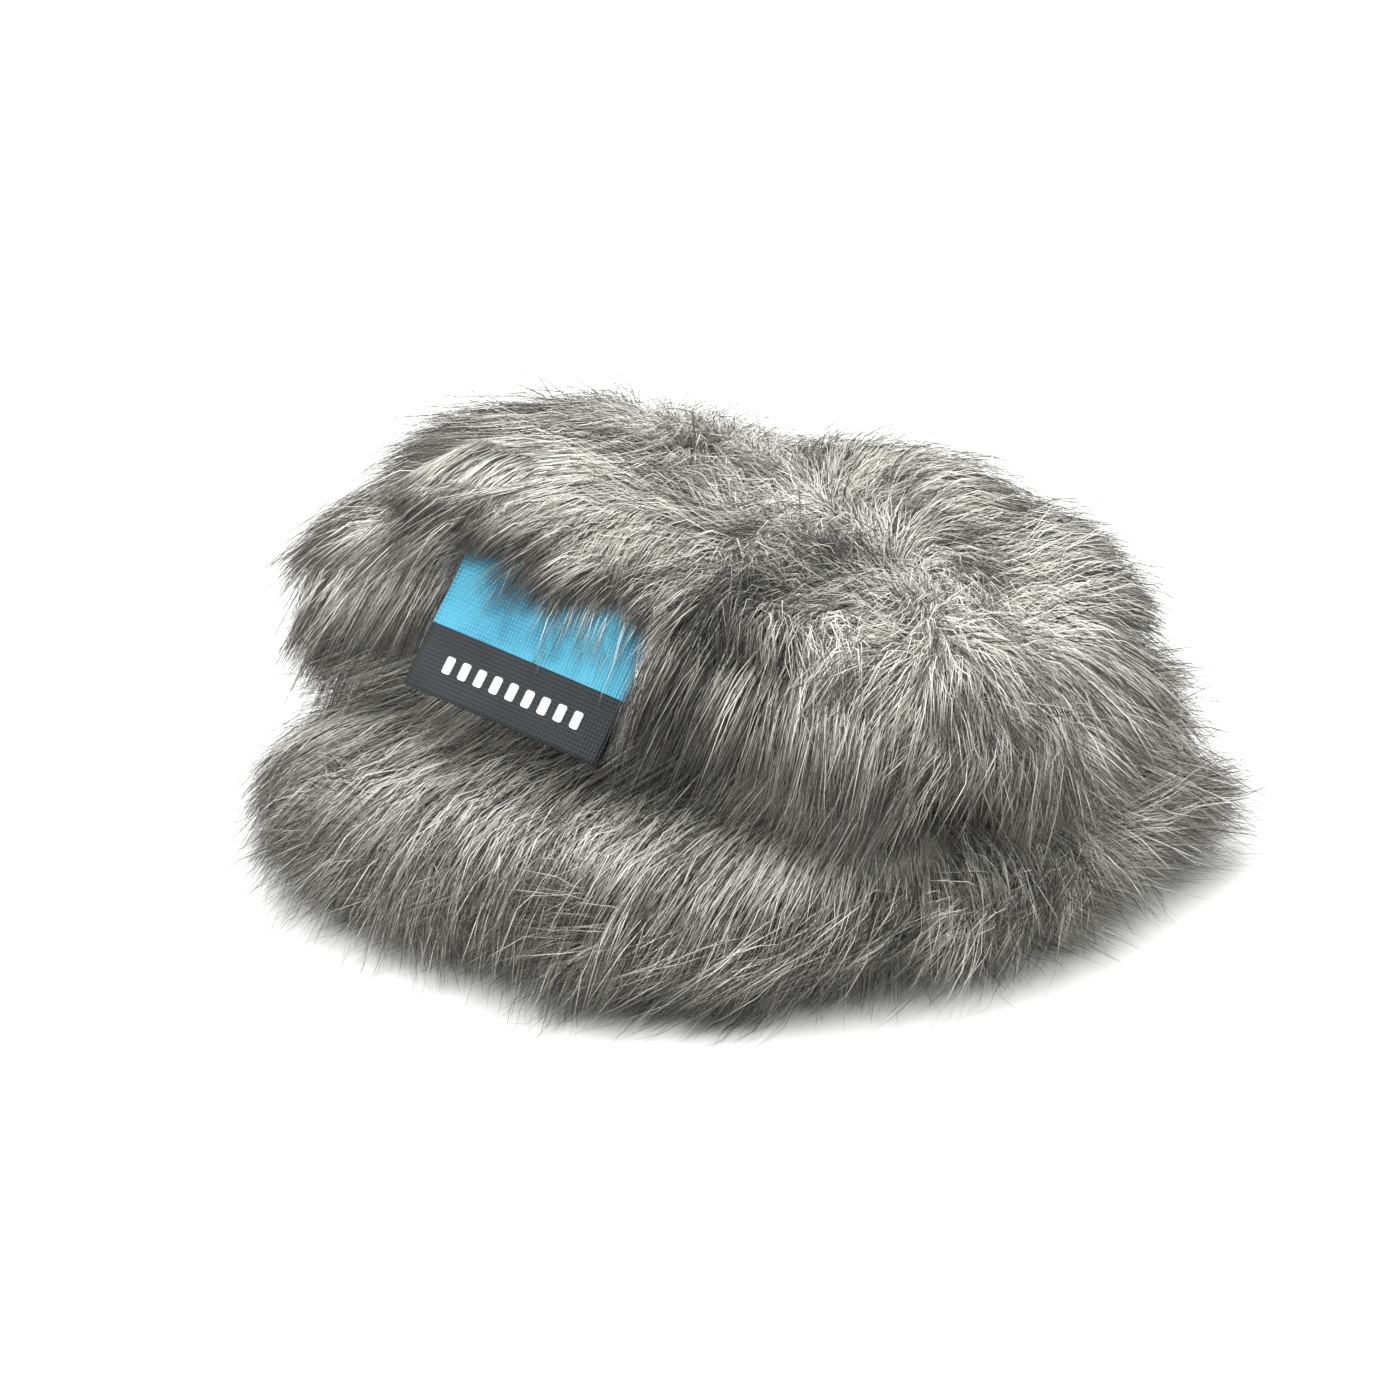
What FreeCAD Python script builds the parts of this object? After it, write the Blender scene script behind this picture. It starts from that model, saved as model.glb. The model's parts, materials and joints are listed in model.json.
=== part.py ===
import FreeCAD, Part
import math
import os

# Fur cover for a round basket windshield: a flattened fur sleeve with a closed,
# rounded nose and an open mouth, folded in half.  The lower layer is the nose
# half and lies on the table; the upper layer is the mouth half.  They join at
# the fold.  X is the width, -Y points to the nose and the mouth, +Y to the
# fold, +Z up.  The origin is the middle of the footprint, on the table.

# ---- driving dimensions, millimetres ----
sleeve_half_width = 80.0     # knitted backing laid flat, half its width
cavity_height = 8.0          # room left between the two walls of the flat sleeve
layer_height = 43.0          # one layer of the folded sleeve, pile included
layer_gap = 2.0              # air between the two layers
side_pile = 30.0             # how far the pile stands past the sides of the sleeve
front_pile = 30.0            # how far it stands past the nose
hem_pile = 22.0              # how far it hangs past the hem of the mouth
nose_backing_y = -77.0       # tip of the nose, backing only
hem_y = -36.0                # edge of the mouth, backing only
fold_y = 66.0                # line of the fold's axis
fold_reach = 41.0            # pile round the outside of the fold
nose_depth = 58.0            # length of the rounded nose panel
nose_corner = 74.0           # plan radius of the nose half's front corners
mouth_corner = 48.0          # plan radius of the mouth half's front corners
edge_round = 17.0            # rounding of a layer's long edges
fit = 0.3                    # clearance between pieces that move or are sewn in

tape_thickness = 1.0         # seam tapes, bindings
seam_tape_width = 12.0
binding_width = 14.0         # hem binding, along Y
binding_thickness = 3.2      # two plies with the elastic between
hem_fold = 2.0               # the binding's folded front edge
elastic_thickness = 1.0
elastic_width = 9.0

zip_length = 76.0
zip_tape_half = 5.0          # tape from the middle of the zip to its edge
zip_groove_half = 7.5        # the pile is parted along the zip
zip_groove_run = 20.0        # groove past the end of the zip, for the pull
zip_slit = 1.0               # cut through the fabric behind the zip
coil_radius = 1.1
stop_height = 2.0
slider_length = 9.0
slider_width = 7.0
slider_thickness = 3.6
pull_length = 17.0
pull_width = 5.0
pull_thickness = 1.2
pull_pin_radius = 0.7
lug_wall = 1.0
thread_radius = 0.35
stitch_pitch = 6.0
stitch_length = 3.5

label_width = 50.0
label_length = 42.0
label_thickness = 1.8
label_slit = 0.2             # air between its two plies
label_clear = 2.0            # pile parted round the label
label_roll = -17.0           # turn in its own plane, degrees
label_tilt = 55.0            # slope against the table, degrees
label_yaw = 24.0             # turn about Z, degrees
label_x = -11.0
label_ahead_of_hem = 3.5     # its sewn end, on the pile that rolls over the hem
label_below_top = 2.0        # and below the top of the pile

layer_half_width = sleeve_half_width + side_pile
upper_base = layer_height + layer_gap
total_height = upper_base + layer_height
fold_z = total_height / 2
lower_mid_z = layer_height / 2
upper_mid_z = upper_base + layer_height / 2
nose_tip_y = nose_backing_y - front_pile
mouth_front_y = hem_y - hem_pile
nose_seam_y = nose_backing_y + nose_depth
cavity_half_width = sleeve_half_width - 2.0
panel_end_y = fold_y - fit
label_top_y = hem_y - label_ahead_of_hem
label_top_z = total_height - label_below_top


def vector(x, y, z):
    return FreeCAD.Vector(x, y, z)


def flat_tube(half_width, height, mid_z, y0, y1):
    """A flattened tube's section, round at both sides, from y0 to y1."""
    r = height / 2
    x = half_width - r
    corners = [vector(-x, y0, mid_z - r), vector(x, y0, mid_z - r),
               vector(x, y0, mid_z + r), vector(-x, y0, mid_z + r)]
    edges = [Part.makeLine(corners[0], corners[1]),
             Part.Arc(corners[1], vector(x + r, y0, mid_z), corners[2]).toShape(),
             Part.makeLine(corners[2], corners[3]),
             Part.Arc(corners[3], vector(-x - r, y0, mid_z), corners[0]).toShape()]
    return Part.Face(Part.Wire(edges)).extrude(vector(0, y1 - y0, 0))


def tube_ring(half_width, height, mid_z, wall, y0, y1):
    """A flattened ring whose inside is the given section."""
    outer = flat_tube(half_width + wall, height + 2 * wall, mid_z, y0, y1)
    return outer.cut(flat_tube(half_width, height, mid_z, y0 - 1, y1 + 1))


def rounded_front(half_width, front_y, corner, z):
    """Plan outline of a layer: straight sides, front with two large round corners."""
    x_in = half_width - corner
    y_in = front_y + corner
    diagonal = corner / math.sqrt(2)
    left = [vector(-half_width, panel_end_y, z), vector(-half_width, y_in, z),
            vector(-x_in - diagonal, y_in - diagonal, z), vector(-x_in, front_y, z)]
    right = [vector(-p.x, p.y, z) for p in left]
    edges = [Part.makeLine(left[0], left[1]),
             Part.Arc(left[1], left[2], left[3]).toShape(),
             Part.makeLine(left[3], right[3]),
             Part.Arc(right[3], right[2], right[1]).toShape(),
             Part.makeLine(right[1], right[0]),
             Part.makeLine(right[0], left[0])]
    return Part.Face(Part.Wire(edges))


def layer(front_y, corner, base_z):
    """One layer of fur as a puffy slab, rounded except at the fold."""
    slab = rounded_front(layer_half_width, front_y, corner, base_z)
    slab = slab.extrude(vector(0, 0, layer_height))
    rims = []
    for edge in slab.Edges:
        box = edge.BoundBox
        level = box.ZLength < 0.01
        at_fold = box.YLength < 0.01 and box.YMin > panel_end_y - 1
        if level and not at_fold:
            rims.append(edge)
    return slab.makeFillet(edge_round, rims)


def half_space(y0, y1):
    wide = 2 * layer_half_width + 20
    return Part.makeBox(wide, y1 - y0, total_height + 20, vector(-wide / 2, y0, -10))


def stitches(start, step, count, along):
    """A row of short straight stitches."""
    row = []
    for i in range(count):
        foot = start + step * i
        row.append(Part.makeCylinder(thread_radius, stitch_length, foot, along))
    return Part.makeCompound(row)


# ---- nose half, on the table ----
def nose_cavity():
    """The room inside the closed nose, and the flat tube that runs on to the fold."""
    corner = nose_corner - side_pile
    outline = rounded_front(cavity_half_width, nose_backing_y + 2, corner, lower_mid_z)
    block = outline.extrude(vector(0, 0, cavity_height))
    block.translate(vector(0, 0, -cavity_height / 2))
    tube = flat_tube(cavity_half_width, cavity_height, lower_mid_z, nose_seam_y, fold_y + 1)
    return block.common(half_space(nose_tip_y - 1, nose_seam_y)), tube


def lower_layer():
    whole = layer(nose_tip_y, nose_corner, 0.0)
    front, tube = nose_cavity()
    tape_room = tube_ring(cavity_half_width, cavity_height, lower_mid_z, tape_thickness,
                          nose_seam_y - seam_tape_width / 2, nose_seam_y + seam_tape_width / 2)
    whole = whole.cut(front).cut(tube).cut(tape_room)
    nose = whole.common(half_space(nose_tip_y - 5, nose_seam_y))
    body = whole.common(half_space(nose_seam_y, fold_y + 5))
    return nose, body


def nose_seam_tape():
    return tube_ring(cavity_half_width, cavity_height, lower_mid_z, tape_thickness,
                     nose_seam_y - seam_tape_width / 2, nose_seam_y + seam_tape_width / 2)


def back_seam_tape(mid_z, y0, y1):
    """Tape over the seam that closes the sleeve, on its inner wall."""
    low = mid_z - cavity_height / 2
    return Part.makeBox(seam_tape_width, y1 - y0, tape_thickness,
                        vector(-seam_tape_width / 2, y0, low))


# ---- mouth half, on top ----
def side_box(x0, x1, y1, half_height):
    """A box from in front of the mouth to y1, level with the zip."""
    y0 = mouth_front_y - 5
    return Part.makeBox(x1 - x0, y1 - y0, 2 * half_height,
                        vector(x0, y0, upper_mid_z - half_height))


def zip_groove():
    """The parting in the pile along the left side, open to the front."""
    return side_box(-layer_half_width - 5, zip_x, hem_y + zip_length + zip_groove_run,
                    zip_groove_half)


def zip_opening():
    """The slit that the zip closes, through the fabric, the binding and the elastic."""
    return side_box(zip_x - 1, -cavity_half_width + cavity_height / 2, hem_y + zip_length - 2.0,
                    zip_slit / 2)


def upper_layer():
    whole = layer(mouth_front_y, mouth_corner, upper_base)
    inside = flat_tube(cavity_half_width, cavity_height, upper_mid_z,
                       mouth_front_y - 5, fold_y + 1)
    hem_room = tube_ring(cavity_half_width, cavity_height, upper_mid_z,
                         binding_thickness, hem_y, hem_y + binding_width)
    whole = whole.cut(inside).cut(hem_room).cut(zip_groove()).cut(zip_opening())
    return whole.cut(label_room())


def hem_binding():
    outer = tube_ring(cavity_half_width, cavity_height, upper_mid_z,
                      binding_thickness, hem_y, hem_y + binding_width)
    ply = (binding_thickness - elastic_thickness) / 2 - fit / 3
    room = tube_ring(cavity_half_width + ply, cavity_height + 2 * ply, upper_mid_z,
                     elastic_thickness + 2 * fit / 3, hem_y + hem_fold,
                     hem_y + binding_width + 1)
    return outer.cut(room).cut(zip_opening())


def hem_elastic():
    ply = (binding_thickness - elastic_thickness) / 2
    start = hem_y + hem_fold + fit
    ring = tube_ring(cavity_half_width + ply, cavity_height + 2 * ply, upper_mid_z,
                     elastic_thickness, start, start + elastic_width)
    return ring.cut(zip_opening())


def hem_stitching():
    """Thread that closes the hem binding, one row on each wall of the mouth."""
    count = int(2 * (cavity_half_width - cavity_height) / stitch_pitch)
    start_x = -(count - 1) * stitch_pitch / 2 - stitch_length / 2
    rows = []
    for side in (-1, 1):
        z = upper_mid_z + side * (cavity_height / 2 - thread_radius)
        start = vector(start_x, hem_y + binding_width - 2.0, z)
        rows.append(stitches(start, vector(stitch_pitch, 0, 0), count, vector(1, 0, 0)))
    return Part.makeCompound(rows)


# ---- zip on the left side of the mouth half ----
zip_x = -(cavity_half_width + binding_thickness + fit / 3)   # the tapes lie on this face
tape_face_x = zip_x - tape_thickness
zip_start_y = hem_y + slider_length / 2 + 3.0                # slider closed, by the hem


def zip_tape(side):
    low = upper_mid_z if side > 0 else upper_mid_z - zip_tape_half
    height = zip_tape_half - fit / 2
    shift = fit / 2 if side > 0 else 0.0
    return Part.makeBox(tape_thickness, zip_length, height,
                        vector(tape_face_x, hem_y, low + shift))


def zip_coil(side):
    """One row of coil teeth, each turn a short bar that reaches past the middle."""
    row = []
    pitch = 2.4
    count = int((zip_length - slider_length - 10.0) / pitch)
    y = zip_start_y + slider_length / 2 + 1.0 + (pitch / 2 if side > 0 else 0.0)
    for i in range(count):
        foot = vector(tape_face_x - coil_radius / 2, y + i * pitch,
                      upper_mid_z - side * 0.6)
        row.append(Part.makeCylinder(coil_radius / 2, 2.6, foot, vector(0, 0, side)))
    return Part.makeCompound(row)


def zip_stops():
    pair = []
    for side in (-1, 1):
        block = Part.makeBox(stop_height, 2.0, 2.2,
                             vector(tape_face_x - stop_height, hem_y + 0.6,
                                    upper_mid_z + side * 1.8 - 1.1))
        pair.append(block)
    return Part.makeCompound(pair)


def zip_bottom_stop():
    return Part.makeBox(stop_height, 3.0, 6.0,
                        vector(tape_face_x - stop_height, bottom_stop_y, upper_mid_z - 3.0))


def zip_stitching(side):
    """The row of thread along the outer edge of one tape."""
    count = int((zip_length - 4.0) / stitch_pitch)
    start = vector(tape_face_x - thread_radius, hem_y + 2.0,
                   upper_mid_z + side * (zip_tape_half - 1.0))
    return stitches(start, vector(0, stitch_pitch, 0), count, vector(0, 1, 0))


slider_back_x = tape_face_x - coil_radius - fit
slider_front_x = slider_back_x - slider_thickness
eye_radius = pull_pin_radius + 0.9
pin_x = slider_front_x - eye_radius - fit
pin_y = zip_start_y
bottom_stop_y = hem_y + zip_length - 4.0
slider_travel = bottom_stop_y - (zip_start_y + slider_length / 2) - 2 * fit


def zip_slider():
    body = Part.makeBox(slider_thickness, slider_length, slider_width,
                        vector(slider_front_x, zip_start_y - slider_length / 2,
                               upper_mid_z - slider_width / 2))
    body = body.makeFillet(1.0, [e for e in body.Edges if e.BoundBox.XLength > 1])
    lugs = []
    lug_gap = pull_width / 2 + fit
    for side in (-1, 1):
        z = upper_mid_z + (lug_gap if side > 0 else -lug_gap - lug_wall)
        lugs.append(Part.makeBox(slider_front_x - pin_x + eye_radius, 2 * eye_radius, lug_wall,
                                 vector(pin_x - eye_radius, pin_y - eye_radius, z)))
    pin = Part.makeCylinder(pull_pin_radius, 2 * lug_gap + lug_wall,
                            vector(pin_x, pin_y, upper_mid_z - lug_gap - lug_wall / 2),
                            vector(0, 0, 1))
    return body.fuse(lugs[0]).fuse(lugs[1]).fuse(pin).removeSplitter()


def zip_pull():
    """A flat tab with an eye round the slider's pin, lying along the zip."""
    eye = Part.makeCylinder(eye_radius, pull_width,
                            vector(pin_x, pin_y, upper_mid_z - pull_width / 2), vector(0, 0, 1))
    tab = Part.makeBox(pull_thickness, pull_length, pull_width,
                       vector(pin_x - pull_thickness / 2, pin_y, upper_mid_z - pull_width / 2))
    tab = tab.makeFillet(1.8, [e for e in tab.Edges
                               if e.BoundBox.XLength > 1 and e.BoundBox.YMin > pin_y + 1])
    bore = Part.makeCylinder(pull_pin_radius + 0.06, pull_width + 2,
                             vector(pin_x, pin_y, upper_mid_z - pull_width / 2 - 1),
                             vector(0, 0, 1))
    return eye.fuse(tab).cut(bore).removeSplitter()


# ---- woven label, sewn in at the front of the upper layer ----
def place_label(shape):
    """From the label's own frame: it turns about X, hangs to -Y and faces up."""
    shape.rotate(vector(0, 0, 0), vector(0, 0, 1), label_roll)
    shape.rotate(vector(0, 0, 0), vector(1, 0, 0), label_tilt)
    shape.rotate(vector(0, 0, 0), vector(0, 0, 1), label_yaw)
    shape.translate(vector(label_x, label_top_y, label_top_z))
    return shape


def label_block(grow, ahead):
    return Part.makeBox(label_width + 2 * grow, label_length + 2 * grow,
                        label_thickness + grow + ahead,
                        vector(-label_width / 2 - grow, -label_length - grow,
                               -label_thickness / 2 - grow))


def label_room():
    """The pile lies flat under the label and is open above it, as high as it swings."""
    return place_label(label_block(label_clear, label_length))


def woven_label():
    """A ribbon folded in two: the cut ends are rolled and sewn in, the folded end is free."""
    roll = Part.makeCylinder(label_thickness / 2, label_width,
                             vector(-label_width / 2, 0, 0), vector(1, 0, 0))
    slit = Part.makeBox(label_width + 2, label_length - 2.0, label_slit,
                        vector(-label_width / 2 - 1, -label_length + 1.0, -label_slit / 2))
    return place_label(label_block(0.0, 0.0).fuse(roll).removeSplitter().cut(slit))


def label_stitching():
    """The row of thread behind the label's rolled end, clear of it as it turns."""
    count = int((label_width - 4.0) / stitch_pitch)
    behind = label_thickness / 2 + fit + thread_radius
    start = vector(-(count - 1) * stitch_pitch / 2 - stitch_length / 2, behind, 0)
    return place_label(stitches(start, vector(stitch_pitch, 0, 0), count, vector(1, 0, 0)))


# ---- the fold ----
def fold_panel():
    """The fur that turns round the fold, with the flat cavity running round in it."""
    outer_z = total_height / 2
    y0 = fold_y
    wide = 2 * layer_half_width
    ellipse = Part.Ellipse(vector(-layer_half_width, y0, fold_z), outer_z, fold_reach)
    ellipse.Axis = vector(1, 0, 0)
    ellipse.XAxis = vector(0, 0, 1)
    disc = Part.Face(Part.Wire(ellipse.toShape())).extrude(vector(wide, 0, 0))
    body = disc.common(Part.makeBox(wide + 2, fold_reach + 2, total_height + 2,
                                    vector(-layer_half_width - 1, y0, -1)))
    reach = upper_mid_z - fold_z
    gap = layer_gap / 2
    way = Part.makeCylinder(reach + cavity_height / 2, 2 * cavity_half_width,
                            vector(-cavity_half_width, y0, fold_z), vector(1, 0, 0))
    way = way.cut(Part.makeCylinder(reach - cavity_height / 2, 2 * cavity_half_width,
                                    vector(-cavity_half_width, y0, fold_z), vector(1, 0, 0)))
    slit = Part.makeCylinder(gap, wide + 2, vector(-layer_half_width - 1, y0, fold_z),
                             vector(1, 0, 0))
    rims = []
    for edge in body.Edges:
        box = edge.BoundBox
        if box.XLength < 0.01 and box.YLength > 1:
            rims.append(edge)
    return body.makeFillet(edge_round, rims).cut(way).cut(slit)


nose_panel, lower_body_panel = lower_layer()
tape_end = panel_end_y - 1.0

nodes = {
    "nose_panel": nose_panel,
    "lower_body_panel": lower_body_panel,
    "nose_seam_tape": nose_seam_tape(),
    "fold_panel": fold_panel(),
    "lower_seam_tape": back_seam_tape(lower_mid_z, nose_seam_y + seam_tape_width / 2 + fit,
                                      tape_end),
    "upper_body_panel": upper_layer(),
    "upper_seam_tape": back_seam_tape(upper_mid_z, hem_y + binding_width + fit, tape_end),
    "hem_binding": hem_binding(),
    "hem_elastic": hem_elastic(),
    "zip_tape_upper": zip_tape(1),
    "zip_tape_lower": zip_tape(-1),
    "hem_stitching": hem_stitching(),
    "zip_stitching_upper": zip_stitching(1),
    "zip_stitching_lower": zip_stitching(-1),
    "zip_coil_upper": zip_coil(1),
    "zip_coil_lower": zip_coil(-1),
    "zip_top_stops": zip_stops(),
    "zip_bottom_stop": zip_bottom_stop(),
    "zip_slider": zip_slider(),
    "zip_pull": zip_pull(),
    "woven_label": woven_label(),
    "label_stitching": label_stitching(),
}

os.makedirs("parts", exist_ok=True)
for name, shape in nodes.items():
    box = shape.BoundBox
    print("%-20s solids %2d valid %s vol %.0f  x %.1f..%.1f y %.1f..%.1f z %.1f..%.1f" % (
        name, len(shape.Solids), shape.isValid(), shape.Volume,
        box.XMin, box.XMax, box.YMin, box.YMax, box.ZMin, box.ZMax))
    shape.exportStep("parts/%s.step" % name)
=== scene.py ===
import bpy
import json
import math
import numpy as np
from mathutils import Matrix, Vector
from mathutils.kdtree import KDTree


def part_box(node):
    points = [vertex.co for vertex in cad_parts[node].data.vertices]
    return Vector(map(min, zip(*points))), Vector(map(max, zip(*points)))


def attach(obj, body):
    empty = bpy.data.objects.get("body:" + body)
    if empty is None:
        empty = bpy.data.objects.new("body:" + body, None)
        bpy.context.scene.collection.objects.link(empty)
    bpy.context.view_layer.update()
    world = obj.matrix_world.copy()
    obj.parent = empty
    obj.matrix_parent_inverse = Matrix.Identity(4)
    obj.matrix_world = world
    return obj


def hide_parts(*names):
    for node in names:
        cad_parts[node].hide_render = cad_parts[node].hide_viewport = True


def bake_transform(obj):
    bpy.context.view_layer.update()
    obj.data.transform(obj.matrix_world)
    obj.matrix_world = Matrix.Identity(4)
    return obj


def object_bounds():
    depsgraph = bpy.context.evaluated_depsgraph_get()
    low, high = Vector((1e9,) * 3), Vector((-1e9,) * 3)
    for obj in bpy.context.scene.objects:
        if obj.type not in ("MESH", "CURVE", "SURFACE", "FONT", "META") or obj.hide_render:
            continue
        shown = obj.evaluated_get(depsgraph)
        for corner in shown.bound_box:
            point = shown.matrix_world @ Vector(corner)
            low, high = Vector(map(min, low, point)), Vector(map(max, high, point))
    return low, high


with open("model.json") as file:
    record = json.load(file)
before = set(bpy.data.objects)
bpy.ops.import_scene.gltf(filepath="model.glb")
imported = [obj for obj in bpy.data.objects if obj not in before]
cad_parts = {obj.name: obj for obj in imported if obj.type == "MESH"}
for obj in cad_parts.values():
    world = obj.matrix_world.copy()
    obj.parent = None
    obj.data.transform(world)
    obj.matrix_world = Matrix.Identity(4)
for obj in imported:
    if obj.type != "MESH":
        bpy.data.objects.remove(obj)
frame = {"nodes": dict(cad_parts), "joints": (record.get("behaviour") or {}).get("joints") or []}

cadLow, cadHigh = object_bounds()
print("frame loaded")

# places read from the frame
joints = {joint["name"]: joint for joint in frame["joints"]}
foldY, foldZ = joints["fold_open"]["pos_m"][1:]
upperLow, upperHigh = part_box("upper_body_panel")
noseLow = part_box("nose_panel")[0]
hemLow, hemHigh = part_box("hem_binding")
zipLow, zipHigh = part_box("zip_tape_upper")
upperMid = (upperLow.z + upperHigh.z) / 2
fullTurn = 6.283                      # radians, to three places


# materials
def linear(hexColour):
    parts = [int(hexColour[i:i + 2], 16) / 255 for i in (1, 3, 5)]
    return tuple(c / 12.92 if c <= 0.04045 else ((c + 0.055) / 1.055) ** 2.4 for c in parts) + (1,)


def addNode(tree, kind, settings=None, links=None):
    # settings: socket or property -> value; links: socket -> output of another node
    node = tree.nodes.new(kind)
    for key, value in (settings or {}).items():
        if key in node.inputs:
            node.inputs[key].default_value = value
        else:
            setattr(node, key, value)
    for key, output in (links or {}).items():
        tree.links.new(output, node.inputs[key])
    return node


def setRamp(node, stops):
    ramp = node.color_ramp
    while len(ramp.elements) > 1:
        ramp.elements.remove(ramp.elements[-1])
    ramp.elements[0].position = stops[0][0]
    ramp.elements[0].color = linear(stops[0][1])
    for place, colour in stops[1:]:
        ramp.elements.new(place).color = linear(colour)
    return node


def startMaterial(name, settings):
    material = bpy.data.materials.new(name)
    material.use_nodes = True
    tree = material.node_tree
    shader = tree.nodes["Principled BSDF"]
    for key, value in settings.items():
        shader.inputs[key].default_value = value
    return material, tree, shader


# acrylic guard hair: smooth round fibres, silver in the shaft, smoky at the tip, with painted shade
# darkening the root end
def makeGuardHair():
    material, tree, shader = startMaterial("acrylicGuardHair", {
        "IOR": 1.5, "Roughness": 0.72, "Specular IOR Level": 0.3, "Sheen Weight": 0.2,
        "Sheen Roughness": 0.5})
    place = addNode(tree, "ShaderNodeUVMap", {"uv_map": "OFBake"})
    split = addNode(tree, "ShaderNodeSeparateXYZ", {}, {"Vector": place.outputs["UV"]})
    shaft = setRamp(addNode(tree, "ShaderNodeValToRGB", {}, {"Fac": split.outputs["X"]}), [
        (0.0, "#1b1b18"), (0.18, "#45443f"), (0.38, "#9b9a90"), (0.60, "#d8d7cd"), (1.0, "#fefdf7")])
    # along the strand: the darker root end is painted shade from the pile around it; the dark tip is the
    # hair's own colour
    along = setRamp(addNode(tree, "ShaderNodeValToRGB", {}, {"Fac": split.outputs["Y"]}), [
        (0.0, "#77766f"), (0.22, "#ececea"), (0.56, "#ffffff"), (0.76, "#9b9a94"), (0.92, "#3f3e3a"),
        (1.0, "#262522")])
    mix = addNode(tree, "ShaderNodeMix", {"data_type": "RGBA", "blend_type": "MULTIPLY"})
    mix.inputs[0].default_value = 1.0
    tree.links.new(shaft.outputs["Color"], mix.inputs[6])
    tree.links.new(along.outputs["Color"], mix.inputs[7])
    tree.links.new(mix.outputs[2], shader.inputs["Base Color"])
    return material


# acrylic undercoat: short crimped fibres, matt, with tuft-sized tone changes of their own; kept darker than
# the hair as painted shade deep in the pile
def makeUndercoat():
    material, tree, shader = startMaterial("acrylicUndercoat", {
        "IOR": 1.5, "Roughness": 0.95, "Sheen Weight": 0.3, "Sheen Roughness": 0.5})
    space = addNode(tree, "ShaderNodeTexCoord")
    tuft = addNode(tree, "ShaderNodeTexNoise", {"Scale": 1 / 0.006, "Detail": 4.0},
                   {"Vector": space.outputs["Object"]})
    fibre = addNode(tree, "ShaderNodeTexNoise", {"Scale": 1 / 0.0009, "Detail": 3.0},
                    {"Vector": space.outputs["Object"]})
    # tuft noise is the fibres' own tone; the low grey of the whole ramp is painted shade under the pile
    colour = setRamp(addNode(tree, "ShaderNodeValToRGB", {}, {"Fac": tuft.outputs["Fac"]}), [
        (0.3, "#5c5b55"), (0.5, "#87867e"), (0.7, "#aeada3")])
    bump = addNode(tree, "ShaderNodeBump", {"Strength": 0.9, "Distance": 0.0012},
                   {"Height": fibre.outputs["Fac"]})
    tree.links.new(colour.outputs["Color"], shader.inputs["Base Color"])
    tree.links.new(bump.outputs["Normal"], shader.inputs["Normal"])
    return material


# warp knit polyester: the pale inside of the fabric, ribs 3.2 mm apart, loops 2.4 mm
def makeKnitBacking():
    material, tree, shader = startMaterial("warpKnitBacking", {"IOR": 1.5, "Roughness": 0.9})
    space = addNode(tree, "ShaderNodeTexCoord")
    ribs = addNode(tree, "ShaderNodeTexWave", {"bands_direction": "X", "Scale": 1 / 0.0016 / fullTurn,
                   "Distortion": 0.6, "Detail": 2.0}, {"Vector": space.outputs["Object"]})
    loops = addNode(tree, "ShaderNodeTexWave", {"bands_direction": "Y", "Scale": 1 / 0.0012 / fullTurn,
                    "Distortion": 0.8, "Detail": 2.0}, {"Vector": space.outputs["Object"]})
    knit = addNode(tree, "ShaderNodeMath", {"operation": "MULTIPLY"})
    tree.links.new(ribs.outputs["Fac"], knit.inputs[0])
    tree.links.new(loops.outputs["Fac"], knit.inputs[1])
    colour = setRamp(addNode(tree, "ShaderNodeValToRGB", {}, {"Fac": knit.outputs["Value"]}), [
        (0.0, "#6f6f6a"), (0.4, "#a5a59e"), (1.0, "#c4c4bc")])
    bump = addNode(tree, "ShaderNodeBump", {"Strength": 0.7, "Distance": 0.0004},
                   {"Height": knit.outputs["Value"]})
    tree.links.new(colour.outputs["Color"], shader.inputs["Base Color"])
    tree.links.new(bump.outputs["Normal"], shader.inputs["Normal"])
    return material


# woven ribbon and tape: two crossing sets of threads, each a low round ridge
def makeWoven(name, dark, light, threadMm, roughness, sheen=0.2, ribStrength=0.6):
    material, tree, shader = startMaterial(name, {
        "IOR": 1.5, "Roughness": roughness, "Sheen Weight": sheen, "Sheen Roughness": 0.4})
    space = addNode(tree, "ShaderNodeTexCoord")
    scale = 0.314 / (threadMm / 1000)       # a wave repeats every 0.314 / scale
    warp = addNode(tree, "ShaderNodeTexWave", {"bands_direction": "X", "Scale": scale,
                   "Distortion": 0.3, "Detail": 2.0}, {"Vector": space.outputs["UV"]})
    weft = addNode(tree, "ShaderNodeTexWave", {"bands_direction": "Y", "Scale": scale * 0.8,
                   "Distortion": 0.3, "Detail": 2.0}, {"Vector": space.outputs["UV"]})
    patch = addNode(tree, "ShaderNodeTexNoise", {"Scale": 1 / 0.012, "Detail": 3.0},
                    {"Vector": space.outputs["Object"]})
    cross = addNode(tree, "ShaderNodeMath", {"operation": "MULTIPLY"})
    tree.links.new(warp.outputs["Fac"], cross.inputs[0])
    tree.links.new(weft.outputs["Fac"], cross.inputs[1])
    blend = addNode(tree, "ShaderNodeMath", {"operation": "MULTIPLY_ADD"})
    tree.links.new(cross.outputs["Value"], blend.inputs[0])
    blend.inputs[1].default_value = 0.55
    tree.links.new(patch.outputs["Fac"], blend.inputs[2])
    colour = setRamp(addNode(tree, "ShaderNodeValToRGB", {}, {"Fac": blend.outputs["Value"]}), [
        (0.30, dark), (0.85, light)])
    bump = addNode(tree, "ShaderNodeBump", {"Strength": ribStrength, "Distance": 0.0004},
                   {"Height": cross.outputs["Value"]})
    tree.links.new(colour.outputs["Color"], shader.inputs["Base Color"])
    tree.links.new(bump.outputs["Normal"], shader.inputs["Normal"])
    return material


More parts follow.
